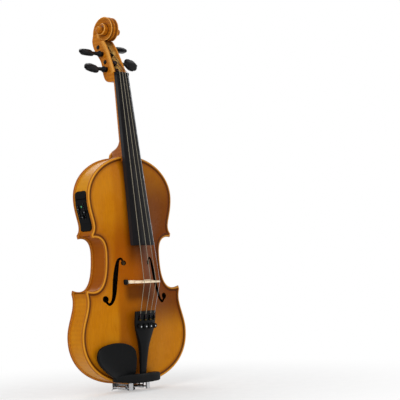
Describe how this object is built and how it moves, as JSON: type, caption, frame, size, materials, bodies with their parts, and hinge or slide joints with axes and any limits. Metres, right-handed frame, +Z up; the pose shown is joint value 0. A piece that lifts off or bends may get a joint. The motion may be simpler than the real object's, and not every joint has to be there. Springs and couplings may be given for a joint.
{
  "type": "electric violin",
  "caption": "Full-size hollow-bodied violin with f-holes, set neck and scroll, strings on friction pegs and fine tuners, a clamped chin rest, and a preamp panel let into its side.",
  "frame": {"origin": "bottom centre of the body, on the end button's axis and half way through the ribs", "axes": "+Z up along the body and neck towards the scroll, -Y the belly side with the strings, +Y the back, +X the treble side"},
  "size_m": [0.21, 0.1125, 0.5876],
  "materials": {
    "top_varnish": "golden amber gloss varnish over spruce",
    "maple_varnish": "orange-brown gloss varnish over maple",
    "bare_wood": "unvarnished spruce and willow, matt",
    "ebony": "black satin fingerboard and fittings",
    "black_plastic": "black gloss moulding",
    "bridge_maple": "pale matt maple",
    "cork": "matt cork",
    "nylon": "black nylon cord and cable sheath",
    "steel": "bright plated steel",
    "string_steel": "wound steel strings",
    "green_lamp": "green translucent lamp",
    "circuit": "green circuit board"
  },
  "bodies": {
    "violin": {"top_plate": "top_varnish", "back_plate": "maple_varnish", "neck": "maple_varnish", "rib_lower_bass": "maple_varnish", "rib_lower_treble": "maple_varnish", "rib_waist_bass": "maple_varnish", "rib_waist_treble": "maple_varnish", "rib_upper_bass": "maple_varnish", "rib_upper_treble": "maple_varnish", "neck_block": "bare_wood", "end_block": "bare_wood", "bass_bar": "bare_wood", "sound_post": "bare_wood", "corner_block_upper_bass": "bare_wood", "corner_block_upper_treble": "bare_wood", "corner_block_lower_bass": "bare_wood", "corner_block_lower_treble": "bare_wood", "fingerboard": "ebony", "nut": "ebony", "saddle": "ebony", "end_button": "ebony", "tailgut": "nylon", "tailpiece": "black_plastic", "string_g": "string_steel", "string_d": "string_steel", "string_a": "string_steel", "string_e": "string_steel", "bridge": "bridge_maple", "chin_rest": "black_plastic", "chin_rest_cork_bass": "cork", "chin_rest_cork_treble": "cork", "clamp_post_bass": "steel", "clamp_post_treble": "steel", "clamp_foot": "steel", "preamp_housing": "black_plastic", "preamp_lamp": "green_lamp", "battery_cell": "steel", "circuit_board": "circuit", "output_jack": "steel", "jack_nut": "steel", "pickup": "black_plastic", "pickup_lead": "nylon"},
    "peg_g_turning": {"peg_g": "ebony"},
    "peg_d_turning": {"peg_d": "ebony"},
    "peg_a_turning": {"peg_a": "ebony"},
    "peg_e_turning": {"peg_e": "ebony"},
    "tuner_g_screw": {"tuner_screw_g": "black_plastic"},
    "tuner_g_lever": {"tuner_lever_g": "steel"},
    "tuner_d_screw": {"tuner_screw_d": "black_plastic"},
    "tuner_d_lever": {"tuner_lever_d": "steel"},
    "tuner_a_screw": {"tuner_screw_a": "black_plastic"},
    "tuner_a_lever": {"tuner_lever_a": "steel"},
    "tuner_e_screw": {"tuner_screw_e": "black_plastic"},
    "tuner_e_lever": {"tuner_lever_e": "steel"},
    "treble_knob": {"slider_treble": "black_plastic"},
    "bass_knob": {"slider_bass": "black_plastic"},
    "volume_knob": {"slider_volume": "black_plastic"},
    "door": {"battery_door": "black_plastic"},
    "barrel_bass": {"clamp_barrel_bass": "steel"},
    "barrel_treble": {"clamp_barrel_treble": "steel"}
  },
  "joints": [
    {"name": "peg_g_turn", "type": "hinge", "parent": "violin", "child": "peg_g_turning", "pos_m": [0, 0.01154, 0.4903], "axis": [1, 0, 0], "continuous": true},
    {"name": "peg_d_turn", "type": "hinge", "parent": "violin", "child": "peg_d_turning", "pos_m": [0, 0.02221, 0.5166], "axis": [1, 0, 0], "continuous": true},
    {"name": "peg_a_turn", "type": "hinge", "parent": "violin", "child": "peg_a_turning", "pos_m": [0, 0.03231, 0.5293], "axis": [1, 0, 0], "continuous": true},
    {"name": "peg_e_turn", "type": "hinge", "parent": "violin", "child": "peg_e_turning", "pos_m": [0, 0.01458, 0.5026], "axis": [1, 0, 0], "continuous": true},
    {"name": "tuner_g_screw_travel", "type": "slide", "parent": "violin", "child": "tuner_g_screw", "axis": [0, -0.9896, -0.1441], "range_m": [0, 0.002]},
    {"name": "tuner_g_lever_tilt", "type": "hinge", "parent": "violin", "child": "tuner_g_lever", "pos_m": [-0.01425, -0.03867, 0.09949], "axis": [-1, 0, 0], "range_deg": [0, 11.2]},
    {"name": "tuner_d_screw_travel", "type": "slide", "parent": "violin", "child": "tuner_d_screw", "axis": [0, -0.9896, -0.1441], "range_m": [0, 0.002]},
    {"name": "tuner_d_lever_tilt", "type": "hinge", "parent": "violin", "child": "tuner_d_lever", "pos_m": [-0.00475, -0.04028, 0.09926], "axis": [-1, 0, 0], "range_deg": [0, 11.2]},
    {"name": "tuner_a_screw_travel", "type": "slide", "parent": "violin", "child": "tuner_a_screw", "axis": [0, -0.9896, -0.1441], "range_m": [0, 0.002]},
    {"name": "tuner_a_lever_tilt", "type": "hinge", "parent": "violin", "child": "tuner_a_lever", "pos_m": [0.00475, -0.04028, 0.09926], "axis": [-1, 0, 0], "range_deg": [0, 11.2]},
    {"name": "tuner_e_screw_travel", "type": "slide", "parent": "violin", "child": "tuner_e_screw", "axis": [0, -0.9896, -0.1441], "range_m": [0, 0.002]},
    {"name": "tuner_e_lever_tilt", "type": "hinge", "parent": "violin", "child": "tuner_e_lever", "pos_m": [0.01425, -0.03867, 0.09949], "axis": [-1, 0, 0], "range_deg": [0, 11.2]},
    {"name": "treble_slide", "type": "slide", "parent": "violin", "child": "treble_knob", "axis": [-0.2293, 0, 0.9734], "range_m": [-0.01025, 0.01271]},
    {"name": "bass_slide", "type": "slide", "parent": "violin", "child": "bass_knob", "axis": [-0.2293, 0, 0.9734], "range_m": [-0.00285, 0.00778]},
    {"name": "volume_slide", "type": "slide", "parent": "violin", "child": "volume_knob", "axis": [-0.2293, 0, 0.9734], "range_m": [-0.01542, 0.00753]},
    {"name": "door_turn", "type": "hinge", "parent": "violin", "child": "door", "pos_m": [-0.08296, 0.001, 0.29641], "axis": [0, 1, 0], "range_deg": [0, 100]},
    {"name": "barrel_bass_turn", "type": "hinge", "parent": "violin", "child": "barrel_bass", "pos_m": [-0.017, 0, -0.0056], "axis": [0, 1, 0], "continuous": true},
    {"name": "barrel_treble_turn", "type": "hinge", "parent": "violin", "child": "barrel_treble", "pos_m": [0.017, 0, -0.0056], "axis": [0, 1, 0], "continuous": true}
  ],
  "couplings": [
    {"joint": "tuner_g_lever_tilt", "follows": "tuner_g_screw_travel", "rad_per_m": 96.154},
    {"joint": "tuner_d_lever_tilt", "follows": "tuner_d_screw_travel", "rad_per_m": 96.154},
    {"joint": "tuner_a_lever_tilt", "follows": "tuner_a_screw_travel", "rad_per_m": 96.154},
    {"joint": "tuner_e_lever_tilt", "follows": "tuner_e_screw_travel", "rad_per_m": 96.154}
  ]
}
